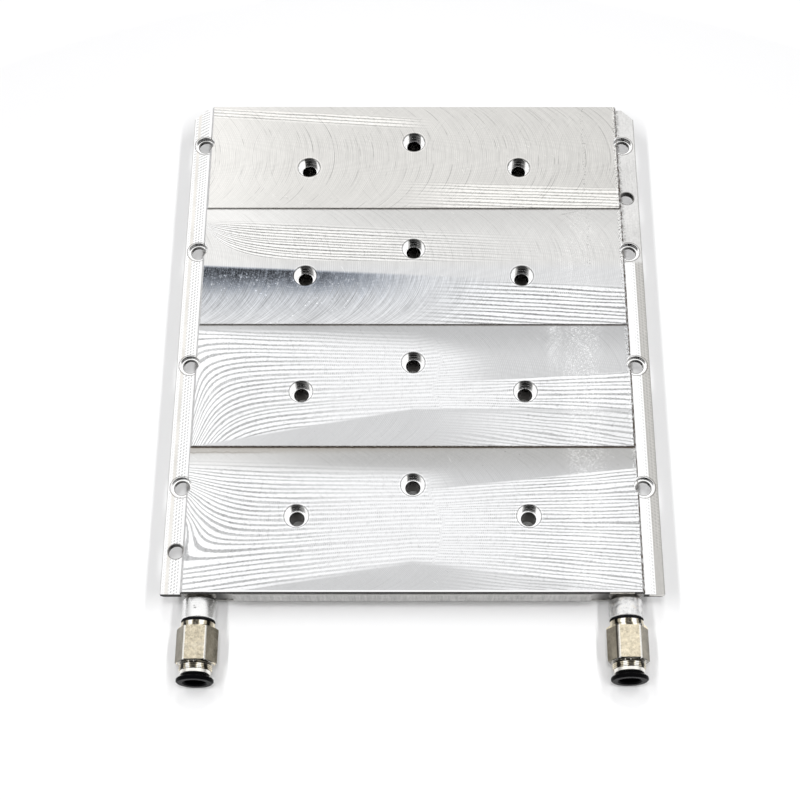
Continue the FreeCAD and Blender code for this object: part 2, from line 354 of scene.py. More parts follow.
    # ---- tone of the smooth places and of the streaks
    smooth_t = b1 * (0.765 - u * 0.05) + b2 * (0.70 + step(w, 0.05, 0.25) * 0.07) \
        + b3 * (0.56 + step(w, 0.04, 0.30) * 0.13) + b4 * (0.51 + step(w, 0.04, 0.30) * 0.17 - step(w, 0.80, 0.95) * 0.03)
    left_glow = step(ul, 0.5, 0.0) * 0.12
    streak_t = 1.07 - line * 0.62 - hatch * 0.10 - rough_g * 1.1 - calm * 0.05
    tone = mixf(area, smooth_t + left_glow + b4 * step(ul, 0.9, 0.1) * step(w, 0.22, 0.10) * 0.18
                + b2 * step(w, 0.24, 0.10) * step(u, 0.0, -0.75) * 0.16, streak_t + step(ul, 0.22, 0.04) * 0.08)
    arcs_seen = 0.30 + b1 * 0.35 + b2 * 0.25
    tone = tone + (n1 * 0.20 + n2 * 0.06 + nf1 * 0.34 + nf2 * 0.14) * arcs_seen + hatch * 0.12 + fine * 0.12 + soft * 0.06
    tone = tone - bite * (b1 * 0.26 + b2 * step(w, 0.5, 0.4) * 0.16 + (b3 + b4) * inv(area) * 0.08)

    # ---- painted dark reflection in pass 2, with painted glint specks in it, fading to the front and to the right
    rise2 = ul * 0.075
    painted_reflection_zone = b2 * step(w - rise2, 0.495, 0.525)
    painted_reflection_depth = painted_reflection_zone * step(w - rise2 * 0.4, 1.12, 0.50) * step(u, 0.75, -0.9)
    painted_reflection_core = painted_reflection_zone * step(w - rise2 - n1 * 0.20 - nf1 * 0.22, 0.76, 0.545) * step(u + n2 * 0.3, 0.10, -0.60)
    # painted glints: light specks that break up the painted dark reflection
    painted_glint = step(noise(vec(x * 0.85, y * 1.0, 5.0), 0.60, 6.0, 0.9) + nf1 * 0.15, 0.53, 0.60)
    painted_reflection_core = painted_reflection_core * inv(painted_glint * (0.45 + step(w - rise2, 0.53, 0.62) * 0.55))
    tone = tone - painted_reflection_depth * (0.18 + step(u, -0.1, -0.8) * step(w, 1.02, 0.82) * 0.17) - painted_reflection_zone * step(u, -0.72, -0.95) * 0.12 \
        + painted_reflection_zone * inv(painted_reflection_core) * (nf1 * 0.95 + nf2 * 0.22 + n1 * 0.25) * step(u, 0.8, -0.4)
    # painted glint specks inside the painted dark reflection
    painted_glint_specks = painted_reflection_zone * step(voronoi(vec(x * 0.50, y * 0.55, 2.0), 1.0) + fine * 0.3, 0.20, 0.06) \
        * step(noise(vec(x * 0.06, y * 0.06, 71.0), 1.0, 2.0), 0.48, 0.62) * step(u, 0.2, -0.5)
    tone = mixf(painted_reflection_core * 0.95, tone, 0.025 + vmax(nf1, 0.0) * 0.9 + vmax(fine - 0.03, 0.0) * 1.6)
    tone = tone + painted_glint_specks * 0.5

    rag0 = noise(vec(x * 0.5, y * 0.5, 2.0), 1.6, 4.0, 0.75) - 0.5
    # ---- scratches, white rubbed specks near the right edge, pits
    rub = step(absv(u - 0.79 - wob * 0.12), 0.13, 0.03) * (b3 + b4 + b2 * 0.35) * step(speck + n1 * 0.15, 0.52, 0.62)
    tone = tone + rub * 0.42 - rub * nf2 * 1.2
    rub2 = step(absv(u - 0.66 - wob * 0.2), 0.05, 0.01) * b3 * step(w, 0.45, 0.25) * step(speck, 0.46, 0.56)
    tone = tone + rub2 * (0.20 + nf2)
    scr = noise(vec(x * 0.9 + y * 0.45, y * 0.05 - x * 0.02, 21.0), 1.1, 3.0, 0.6)
    scr2 = noise(vec(x * 0.3 - y * 1.0, x * 0.06, 29.0), 0.9, 3.0, 0.6)
    patch = step(noise(vec(x * 0.02, y * 0.025, 31.0), 1.0, 1.0), 0.50, 0.60)
    tone = tone + patch * (step(scr, 0.70, 0.74) * 0.22 - step(scr2, 0.70, 0.74) * 0.14)
    pit = step(voronoi(vec(x * 0.28, y * 0.28, 0.0), 1.0), 0.055, 0.03) * step(soft, -0.02, 0.10)
    # short white nicks, slanting down to the right
    nk = noise(vec(x * 0.55 + y * 0.8, (x * 0.8 - y * 0.55) * 0.10, 51.0), 1.3, 2.0, 0.5)
    nk_m = step(noise(vec(x * 0.03, y * 0.04, 61.0), 1.0, 2.0), 0.55, 0.66)
    tone = tone + step(nk, 0.69, 0.72) * nk_m * 0.3 - step(nk, 0.72, 0.74) * nk_m * 0.5
    tone = tone - pit * 0.35

    cy0 = (frac((y - 92.4) / 53.2 + 0.5) - 0.5) * 53.2
    cy1 = (frac((y - 79.4) / 53.2 + 0.5) - 0.5) * 53.2
    rc = vmin(sqrt(x * x + cy0 * cy0), sqrt((ax - 45.0) * (ax - 45.0) + cy1 * cy1))
    # painted shade: a dark line round each hole mouth; painted highlight: a bright ring just outside it
    painted_mouth_shade = step(absv(rc - 4.82 - fine * 0.25), 0.15, 0.03)
    tone = tone * (1.0 - painted_mouth_shade * 0.80)
    painted_mouth_highlight = step(absv(rc - 5.35), 0.30, 0.05)
    tone = tone + painted_mouth_highlight * 0.12

    dotc = step(absv(x - 73.2 - wob * 3.0), 1.3, 0.3) * (b1 + b2 * step(w, 0.6, 0.5)) * step(noise(vec(x, y, 3.0), 1.3, 2.0, 0.6), 0.60, 0.66)
    tone = tone - dotc * 0.38
    near_r = step(x + rag0 * 1.6, 85.9, 86.5)
    tone = tone + near_r * step(speck, 0.50, 0.60) * 0.35 - near_r * step(speck, 0.42, 0.34) * 0.75
    warm = b1 * 0.8 + b2 * step(w, 0.55, 0.45) * 0.5 + b4 * step(w, 0.25, 0.0) * 0.5
    base = vmax(tone / SKY, 0.02)
    topc = mixc(warm, grey(base, (0.995, 1.0, 1.01)), grey(base, (1.02, 1.0, 0.955)))
    # painted reflection: a blue-grey tint where the dark reflection is painted
    topc = mixc(clamp01(painted_reflection_depth * 0.55 + painted_reflection_core), topc, grey(base, (0.90, 0.98, 1.12)))

    # ---- painted shade under the steps mixed with brown grime, strongest at the left of step 3, with a wider painted shadow below step 3
    behind = vmin(vmin(absv(y - STEPS[0] + 0.25), absv(y - STEPS[1] + 0.25)), absv(y - STEPS[2] + 0.25))
    rag = noise(vec(x * 0.5, y * 0.5, 2.0), 1.6, 4.0, 0.75) - 0.5
    step_grime_and_shade = step(behind + rag * 0.9, 0.62, 0.10) * top
    d3 = STEPS[2] - y
    # painted shadow: a wide brown band below step 3
    painted_step_shadow = b4 * step(d3 + rag * 1.6 + u * 1.1, 3.2, 0.2) * step(u, 0.9, -0.6) * 0.55
    swirl = b4 * step(absv(d3 - 3.2 + noise(vec(x * 0.25, 0.0, 5.0), 1.0, 2.0) * 1.4), 0.5, 0.1) * step(u, -0.55, -0.8)
    topc = mixc(painted_step_shadow, topc, (0.34, 0.305, 0.26))
    heavy = b4 * 0.55 + b3 * 0.15 + 0.35
    heavy = heavy * (0.55 + noise(vec(x * 0.06, y * 0.02, 81.0), 1.0, 3.0, 0.6) * 0.9)
    topc = mixc(clamp01(step_grime_and_shade * heavy * (1.1 + rag * 1.6) + swirl * 0.35), topc, (0.17, 0.135, 0.105))
    # painted highlight: a white line along the front edge of the top field
    painted_edge_highlight = step(absv(y + 110.6), 0.5, 0.15)
    topc = mixc(painted_edge_highlight * top * 0.9, topc, (1.0, 1.0, 1.0))

    # ---- flange tops
    hy = (frac((y - 92.4) / 53.2 + 0.5) - 0.5) * 53.2
    rr = sqrt((ax - 90.5) * (ax - 90.5) + hy * hy)
    out = ax - 88.2                                       # 0 at the raised field, 7.8 at the outer edge
    isr = step(x, -1.0, 1.0)
    jy = noise(vec(0.0, y * 0.08, 0.0), 1.0, 1.0) * 2.0
    dx_ = absv(frac(out / 1.14 + 0.25) - 0.5)
    dy_ = absv(frac(y / 1.36 + out * 0.42 + jy + fine * 0.2) - 0.5)
    dots = step(dx_ * dx_ + dy_ * dy_ - fine * 0.04, 0.16, 0.06)
    dots = mixf(step(y, 60.0, 90.0) * 0.8, dots, step(dy_ + fine * 0.2, 0.30, 0.14))
    col_o = step(absv(out - 6.60), 0.48, 0.36)
    col_i = step(out, 1.2, 1.35) * step(out, 4.9, 4.7)
    tick = dots * clamp01(col_o + col_i)
    hat = dots
    inner_c = step(out, 0.5, 0.7) * step(out, 3.2, 2.9)
    beige = step(out, 4.7, 4.95) * step(out, 6.2, 6.0)
    lt = 1.24 - tick * (0.50 + jy * 0.05) - beige * (0.33 + soft * 0.5 + nf1 * 0.3) + fine * 0.10
    # right flange: scratched grey at the back, bright inner strip and hatched outer strip further forward
    rback = step(y, 33.0, 35.0)
    rfront = step(y, -92.0, -94.0)
    inner = step(out, 4.6, 4.2)
    scratch = noise(vec(x * 1.1, y * 0.30, 41.0), 1.2, 4.0, 0.7) - 0.5
    chipf = noise(vec(x * 0.8, y * 0.45, z), 1.5, 4.0, 0.75) - 0.5
    rt_b = 0.80 + scratch * 0.40 + fine * 0.30 + soft * 0.25 - step(out + chipf, 1.9, 0.5) * step(fine, 0.05, -0.06) * 0.35
    rt_f = mixf(inner, 0.64 - hat * 0.12 + scratch * 0.2, 1.22 - hat * step(absv(out - 3.4), 0.9, 0.7) * 0.40)
    rt = mixf(rback, rt_f, rt_b)
    rt = mixf(rfront * inv(inner), rt, 0.60 + scratch * 0.2)
    ftone = mixf(isr, lt, rt)
    bei = clamp01(beige * inv(isr) + isr * inv(rback) * inv(inner) * 0.8 + isr * rback * 0.3)
    fcol = mixc(bei, grey(ftone / SKY), grey(ftone / SKY, (1.0, 0.975, 0.93)))
    # painted shade in the crease where the flange meets the raised field
    painted_crease_shade = step(out + rag * 0.3, 0.32, 0.06)
    fcol = mixc(painted_crease_shade * 0.7, fcol, (0.14, 0.12, 0.10))
    # painted shade: a dark ring round each flange hole mouth
    painted_hole_rim_shade = step(absv(rr - 4.62 - fine * 0.2), 0.20, 0.06)
    fcol = mixc(painted_hole_rim_shade * 0.85, fcol, (0.12, 0.11, 0.10))
    # painted shade along the outer edge of the flange top
    painted_outer_edge_shade = step(out, 7.35, 7.6)
    fcol = mixc(painted_outer_edge_shade * 0.55, fcol, (0.22, 0.21, 0.20))

    # ---- holes: painted shade deep in the field holes and on walls facing the camera, painted highlight on the side walls
    fh = step(rr, 4.45, 4.3) * inv(step(z, 14.9, 14.98)) + step(rr, 4.35, 4.22) * step(z, 14.9, 14.98)
    fh = clamp01(fh) * step(ax, 85.0, 86.0) * inv(top)
    field_hole = step(ax, 56.0, 55.0) * step(z, 17.15, 17.05) * step(z, 3.5, 3.6) * step(absv(y), 107.0, 106.0)
    painted_deep_shade = step(z, 13.7, 13.2)
    turned = noise(vec(z * 3.0, x * 0.08, y * 0.08), 1.6, 3.0, 0.6) - 0.5
    painted_wall_shade = step(ny + fine * 0.35 + nx * 0.12, -0.74, -0.90) * inv(level)
    painted_wall_shade = vmax(painted_wall_shade, step(ny + fine * 0.3, -0.20, -0.50) * inv(level) * step(ax, 86.0, 86.5) * step(z, 15.2, 15.1))
    seat = step(z, 14.4, 14.2) * level
    # the counterbore seat is painted darker at the edge of the through hole (painted shade)
    htone = mixf(seat, 1.28 + turned * 0.3 - painted_wall_shade * (1.25 - vmax(turned, 0.0) * 1.3), 1.25 + fine * 0.15 - step(rr, 3.32, 3.14) * step(ax, 86.0, 86.5) * 0.95)
    hcol = mixc(painted_deep_shade * field_hole * inv(level), grey(htone, (1.0, 0.99, 0.97)), grey(0.10 + absv(turned) * 0.3, (1.0, 0.93, 0.84)))

    # ---- sloped sides of the raised field, front faces, everything else
    slope = step(nz, 0.60, 0.68) * step(nz, 0.80, 0.74) * step(ax, 86.5, 87.0)
    chip = noise(vec(x * 0.8, y * 0.45, z), 1.5, 4.0, 0.75) - 0.5
    slope_t = mixf(isr, 0.75 + chip * 0.7, 0.50 + chip * 2.2)
    slope_c = mixc(isr * step(chip, 0.05, -0.03), grey(vmax(slope_t, 0.05)), (0.12, 0.095, 0.075))
    sgrain = noise(vec(x * 0.05, y * 0.05, z * 2.4), 1.5, 4.0, 0.65) - 0.5
    xgrain = noise(vec(x * 0.9, y * 0.9, z * 0.12), 1.2, 4.0, 0.65) - 0.5
    side_t = 0.60 + sgrain * 0.25 + xgrain * 0.16 + fine * 0.06
    front = step(ny, -0.85, -0.95)
    over = front * step(y, -111.3, -111.2) * step(z, 15.6, 15.65)
    fl_end = front * step(ax, 88.1, 88.3)
    # painted shade in the recessed front wall beside the port stubs
    painted_pocket_shade = front * step(y, -110.0, -109.6) * step(ax, 68.3, 68.5) * 1.0
    painted_pocket_shade = step(y, -110.0, -109.5) * front * step(z, 15.8, 15.6) * step(ax, 69.0, 68.0) * 0.0 \
        + step(absv(y + 109.1), 0.3, 0.1) * front
    lipface = front * step(y, -111.4, -111.5)
    side_t = mixf(lipface, side_t, 0.40 + sgrain * 0.45 + xgrain * 0.55)
    # painted shade along the bottom edge of the lip face
    side_t = side_t * (1.0 - lipface * step(z + chip * 0.6, 8.9, 8.3) * 0.85)
    scol = grey(side_t, (1.0, 0.99, 0.97))
    scrape = over * step(absv(x - 79.6 + chip * 0.5), 4.9, 4.5) * step(z + chip * 0.3, 17.35, 17.15)
    pale_end = fl_end * isr * step(ax, 90.0, 90.3) * step(z + chip * 0.4, 12.5, 12.9)
    # painted dark reflection: the front faces of the raised field and the flange ends are painted near black, not
    # metallic, and rougher
    painted_dark_front = clamp01(over + fl_end) * inv(scrape) * inv(pale_end)
    scol = mixc(scrape, scol, grey(0.74 + chip * 0.5, (1.0, 0.97, 0.89)))
    scol = mixc(pale_end, scol, grey(0.62 + chip * 0.4, (1.0, 0.98, 0.94)))
    scol = mixc(painted_dark_front, scol, grey(0.008 + absv(chip) * 0.04, (1.0, 0.95, 0.9)))
    scol = mixc(painted_pocket_shade * 0.9, scol, grey(0.04 + absv(chip) * 0.15 + step(ax, 74.5, 69.0) * 0.34, (1.0, 0.98, 0.95)))
    scol = mixc(slope, scol, slope_c)
    hole = clamp01(fh + field_hole * inv(top))
    scol = mixc(hole, scol, hcol)

    col = mixc(flange * inv(fh), scol, fcol)
    # the two single holes in the flanges: painted shade on the back wall that faces the camera and a painted dark rim
    ex = vmin(sqrt((x + 91.0) * (x + 91.0) + (y + 93.8) * (y + 93.8)),
              sqrt((x - 91.0) * (x - 91.0) + (y - 65.6) * (y - 65.6)))
    bored = step(ex, 3.45, 3.30) * inv(level)
    col = mixc(bored, col, grey(0.42 - step(ny, -0.15, -0.70) * 0.38, (1.0, 0.97, 0.93)))
    col = mixc(step(absv(ex - 3.16 - fine * 0.12), 0.30, 0.10) * level * 0.7, col, grey(0.10, (1.0, 0.94, 0.88)))
    col = mixc(top, col, topc)
    put(bsdf.inputs["Base Color"], col)
    put(bsdf.inputs["Metallic"], 1.0 - painted_dark_front)
    rough = 0.36 - area * 0.02 - painted_reflection_core * 0.08 + n1 * 0.10 + step_grime_and_shade * 0.3 + slope * 0.12
    rough = mixf(hole, rough, 0.15) + painted_dark_front * 0.3
    put(bsdf.inputs["Roughness"], rough)
    height = (arc1 * 0.4 + arc2 * 0.3 + n1 * 1.6 + n2 * 1.0 - pit * 3.0) * top + fine * 0.5 \
        - tick * flange * 2.0 + (sgrain + xgrain) * 1.2 * inv(top) * inv(flange) * inv(hole) \
        + chip * slope * 6.0 + turned * hole * 0.8
    put(bsdf.inputs["Normal"], bump(height, 0.012, 1.0, bevel(0.14)))
    return mat


def metal_basic(name, colour, rough, grain=0.05, metallic=1.0, along=(1, 1, 1), scale=1.0, depth=0.01, bev=0.1):
    mat, bsdf, P, x, y, z, nx, ny, nz = start(name)
    g = noise(vec(x * along[0], y * along[1], z * along[2]), scale, 4.0, 0.6) - 0.5
    f = noise(P, 3.0, 3.0, 0.6) - 0.5
    n = S.tree.nodes.new("ShaderNodeCombineColor")
    for i in range(3):
        put(n.inputs[i], (g * grain * 2.0 + f * grain + 1.0) * colour[i])
    put(bsdf.inputs["Base Color"], S(n.outputs[0]))
    bsdf.inputs["Metallic"].default_value = metallic
    put(bsdf.inputs["Roughness"], rough + g * 0.15 + f * 0.08)
    put(bsdf.inputs["Normal"], bump(g * 1.5 + f, depth, 1.0, bevel(bev) if bev else None))
    return mat


def stub_material():
    """Turned aluminium; the right stub (x > 0) is rough and smeared."""
    mat, bsdf, P, x, y, z, nx, ny, nz = start("stub_aluminium")
    isr = step(x, -1.0, 1.0)
    turned = noise(vec(x * 0.15, y * 3.0, z * 0.15), 1.3, 4.0, 0.7) - 0.5
    mott = noise(P, 0.55, 5.0, 0.7) - 0.5
    pit = step(voronoi(P, 0.9), 0.20, 0.08) * step(mott, -0.05, 0.12)
    lay = noise(vec((ax_off(x)) * 0.9, y * 0.12, z * 0.9), 1.0, 3.0, 0.6) - 0.5
    # painted shade: each stub is darker towards its sides
    t = mixf(isr, 0.90 + turned * 0.12 + lay * 0.30 - step(absv(ax_off(x)), 5.0, 6.3) * 0.22, 0.86 + mott * 1.5 - pit * 0.6 + lay * 0.25 - step(absv(ax_off(x)), 4.6, 6.2) * 0.25)
    # painted shade of the plate edge on the stub root, painted lighter on top where light falls, tinted brown
    painted_root_shade = step(y, -111.9, -111.5)
    t = mixf(painted_root_shade, t, 0.10 + step(nz, 0.55, 0.85) * 0.62 + vmax(mott, 0.0) * 0.5)
    brown = clamp01(isr * step(mott, 0.02, 0.22) + painted_root_shade * 0.7)
    col = mixc(brown, grey(t, (1.0, 1.0, 0.995)), grey(t * 0.72, (1.0, 0.93, 0.84)))
    put(bsdf.inputs["Base Color"], col)
    bsdf.inputs["Metallic"].default_value = 1.0
    put(bsdf.inputs["Roughness"], mixf(isr, 0.27 + turned * 0.1, 0.36 + mott * 0.3))
    put(bsdf.inputs["Normal"], bump(mixf(isr, turned * 0.7, mott * 3.0 - pit * 3.0), 0.03, 1.0))
    return mat


def ax_off(x):
    return absv(x) - 81.7


def brass_material(name="plated_brass"):
    """Nickel plated brass, speckled on the flats; the side facets are painted darker and browner as shade, the turned
    parts carry painted reflection bands and the corners painted highlights.
    """
    mat, bsdf, P, x, y, z, nx, ny, nz = start(name)
    isr = step(x, -1.0, 1.0)
    sp = noise(P, 1.1, 5.0, 0.75) - 0.5
    big = noise(P, 0.28, 3.0, 0.6) - 0.5
    brush = noise(vec(x * 2.5, y * 0.15, z * 2.5), 1.0, 4.0, 0.7) - 0.5
    top = step(nz, 0.93, 0.985)
    along = step(y, -122.9, -122.6)
    across = absv(ax_off(x)) / 6.4
    sx = across + (noise(vec(x * 0.6, y * 0.6, z * 0.6), 1.0, 2.0, 0.5) - 0.5) * 0.16
    # painted reflection bands across the turned parts: white bands either side of a darker centre
    painted_reflection_bands = step(absv(sx - 0.34), 0.15, 0.09) * 0.62 - step(sx, 0.22, 0.12) * 0.30 \
        - step(absv(sx - 0.70), 0.13, 0.05) * 0.42 + step(sx, 0.90, 0.97) * 0.3
    front = step(y, -135.9, -136.2)
    blot = noise(P, 0.75, 3.0, 0.6) - 0.5
    # painted shade and painted reflection: side facets far darker than the top flats, darkest towards their outer edge;
    # the speckles are the plating's own
    flat_t = 0.60 + isr * 0.10 + sp * 0.75 + blot * 0.75 + big * 0.15
    side_t = 0.20 + big * 0.22 + sp * 0.26 + brush * 0.08 + isr * 0.03 - step(absv(ax_off(x)), 6.2, 7.6) * 0.07
    turned_t = 0.52 + painted_reflection_bands * 1.45 + sp * 0.45
    t = mixf(top, side_t, flat_t)
    t = mixf(clamp01(along + front), t, turned_t)
    # painted shade in the groove behind the hex and in the two fine grooves
    painted_groove_shade = step(y - mixf(isr, -119.4, -118.7) + 17.35, 0.42, 0.30) * 0.0
    dd = mixf(isr, -119.4, -118.7) - y
    painted_groove_shade = step(dd + sp * 0.5, 16.35, 16.6) * step(dd, 17.85, 17.70) * step(nz, 0.1, 0.35) * step(across, 1.15, 0.95)
    painted_groove_shade = clamp01(painted_groove_shade + step(absv(dd - 17.3), 0.36, 0.26))
    cut = vmin(absv(dd - 18.32), absv(dd - 19.02))
    t = t * (1.0 - step(cut, 0.14, 0.06) * 0.6)
    t = vmax(t * (1.0 - painted_groove_shade * 0.92), 0.02)
    # a painted highlight along every corner, and along the top corners of the hex
    bv = S.tree.nodes.new("ShaderNodeNewGeometry")
    painted_corner_highlight = step(S(bv.outputs["Pointiness"]), 0.515, 0.56)
    crest = absv(absv(ax_off(x)) - 4.0 + sp * 0.25)
    painted_corner_highlight = clamp01(painted_corner_highlight + step(crest, 0.42, 0.24) * step(z, 13.8, 14.2) * inv(clamp01(along + front)))
    shade = step(absv(ax_off(x) + 4.75 + sp * 0.2), 0.32, 0.20) * step(z, 12.8, 13.2) * inv(clamp01(along + front)) * isr
    t = t * (1.0 - shade * 0.8)
    col = mixc(step(sp + big, 0.0, 0.3) * 0.5, grey(t, (1.04, 0.93, 0.71)), grey(t * 1.05, (1.02, 0.95, 0.80)))
    col = mixc(painted_corner_highlight * 0.9, col, (0.97, 0.95, 0.90))
    put(bsdf.inputs["Base Color"], col)
    bsdf.inputs["Metallic"].default_value = 1.0
    put(bsdf.inputs["Roughness"], 0.24 + sp * 0.18 + top * 0.05)
    put(bsdf.inputs["Normal"], bump(sp * 1.6 + brush * 0.6, 0.03, 1.0))
    return mat


def set_mat(node, mat):
    o = NODES[node]
    if not o.material_slots:
        o.data.materials.append(mat)
    for s in o.material_slots:
        s.material = mat


set_mat("plate_body", plate_material())
def cover_material():
    """Sheet as rolled: fine grain along Y, matt clouds, long scratches and a few heat stains near the joint."""
    mat, bsdf, P, x, y, z, nx, ny, nz = start("cover_aluminium")
    grain = noise(vec(x * 2.4, y * 0.03, z * 2.0), 1.5, 5.0, 0.7) - 0.5
    cloud = noise(vec(x * 0.03, y * 0.03, 4.0), 1.0, 5.0, 0.65) - 0.5
    spot = noise(vec(x * 0.5, y * 0.5, z), 1.0, 4.0, 0.7) - 0.5
    cut_a = step(noise(vec(x * 0.9 + y * 0.25, y * 0.02 - x * 0.01, 8.0), 1.2, 2.0, 0.5), 0.70, 0.735)
    cut_b = step(noise(vec(x * 0.2 - y * 0.9, x * 0.03, 15.0), 1.0, 2.0, 0.5), 0.71, 0.74)
    edge = step(absv(x) + cloud * 14.0, 80.0, 87.0) + step(absv(y) + cloud * 14.0, 103.0, 110.0)
    t = 0.64 + grain * 0.34 + cloud * 0.34 + spot * 0.12 + cut_a * 0.20 - cut_b * 0.22
    col = mixc(clamp01(edge) * 0.45, grey(t, (1.0, 1.0, 0.985)), grey(t * 0.62, (1.0, 0.95, 0.88)))
    put(bsdf.inputs["Base Color"], col)
    bsdf.inputs["Metallic"].default_value = 1.0
    put(bsdf.inputs["Roughness"], 0.36 + grain * 0.2 - cloud * 0.25)
    put(bsdf.inputs["Normal"], bump(grain * 1.2 + spot * 0.6 + cut_a * 2.0 - cut_b * 2.0, 0.012, 1.0, bevel(0.12)))
    return mat


set_mat("bottom_cover", cover_material())
stub = stub_material()
brass = brass_material()
rubber = metal_basic("seal_rubber", (0.010, 0.010, 0.011), 0.50, 0.3, 0.0, (1, 1, 1), 2.0, 0.01, 0.0)
spacer = metal_basic("spacer_plastic", (0.75, 0.74, 0.70), 0.45, 0.05, 0.0, (1, 1, 1), 2.0, 0.01, 0.0)
steel = metal_basic("spring_steel", (0.62, 0.62, 0.63), 0.25, 0.06, 1.0, (1, 1, 1), 2.0, 0.005, 0.0)
ring = brass_material("ring_brass")
black = metal_basic("sleeve_plastic", (0.0015, 0.0015, 0.0018), 0.26, 0.25, 0.0, (1, 1, 1), 2.0, 0.012, 0.12)
for m_ in (black, rubber):
    [n_ for n_ in m_.node_tree.nodes if n_.type == "BSDF_PRINCIPLED"][0].inputs["Specular IOR Level"].default_value = 0.025
for side in ("left", "right"):
    set_mat(side + "_port_stub", stub)
    set_mat(side + "_thread_seal", rubber)
    set_mat(side + "_fitting_body", brass)
    set_mat(side + "_tube_seal", rubber)
    set_mat(side + "_seal_spacer", spacer)
    set_mat(side + "_grip_ring", steel)
    set_mat(side + "_holder_ring", ring)
    set_mat(side + "_release_sleeve", black)


# ---------------------------------------------------------------- detailed pieces
from mathutils import noise as mnoise

PORT_X, PORT_Z = 81.7, 8.0
STUB_END = {"left": -119.4, "right": -118.7}


def add_object(name, verts, faces, mat, body="plate", smooth_angle=35.0):
    me = bpy.data.meshes.new(name)
    me.from_pydata([(p[0] * MM, p[1] * MM, p[2] * MM) for p in verts], [], faces)
    bm = bmesh.new()
    bm.from_mesh(me)
    bmesh.ops.recalc_face_normals(bm, faces=bm.faces)
    lim = math.radians(smooth_angle)
    for f in bm.faces:
        f.smooth = True
    for ed in bm.edges:
        ed.smooth = len(ed.link_faces) == 2 and ed.calc_face_angle(0.0) < lim
    bm.to_mesh(me)
    bm.free()
    me.materials.append(mat)
    o = bpy.data.objects.new(name, me)
    bpy.context.scene.collection.objects.link(o)
    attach(o, body)
    return o


def rounded(points, rho=0.1, n=3):
    """A closed (d, r) outline with each corner turned by a small arc."""
    out = []
    k = len(points)
    for i in range(k):
        a, p, c = Vector(points[i - 1]), Vector(points[i]), Vector(points[(i + 1) % k])
        da, dc = (a - p), (c - p)
        cut = min(rho, da.length * 0.45, dc.length * 0.45)
        s, t = p + da.normalized() * cut, p + dc.normalized() * cut
        for j in range(n + 1):
            q = j / n
            out.append(tuple(s * (1 - q) ** 2 + p * 2 * q * (1 - q) + t * q * q))
    return out


def lathe(name, outline, side, mat, seg=160, shape=None, body="plate", smooth_angle=35.0):
    """Turns a closed (distance, radius) outline about the fitting axis."""
    cx = PORT_X if side == "right" else -PORT_X
    y0 = STUB_END[side]
    verts, faces = [], []
    k = len(outline)
    for i in range(seg):
        th = 2 * math.pi * i / seg
        for d, r in outline:
            rr = shape(d, r, th) if shape else r
            verts.append((cx + rr * math.cos(th), y0 - d, PORT_Z + rr * math.sin(th)))
    for i in range(seg):
        j = (i + 1) % seg
        for a in range(k):
            b_ = (a + 1) % k
            faces.append((i * k + a, i * k + b_, j * k + b_, j * k + a))
    return add_object(name, verts, faces, mat, body, smooth_angle)


AF2 = 7.0
AC = AF2 / math.cos(math.radians(30))


def hex_radius(th):
    """Radius of the hexagon, flats up, with its corners rounded by wear."""
    phi = (math.degrees(th) - 30.0) % 60.0
    phi = phi - 60.0 if phi > 30.0 else phi
    r = AF2 / math.cos(math.radians(phi))
    return r - 0.10 * math.exp(-(30.0 - abs(phi)) / 1.3)


def fitting_shape(d, r, th):
    if r > 6.89 and 2.99 <= d <= 17.01:
        cone = 6.9 + 1.732 * min(d - 3.0, 17.0 - d)
        h = hex_radius(th)
        k = 0.05
        m = min(cone, h) - max(0.0, k - abs(cone - h)) ** 2 / (4 * k)
        return m
    return r


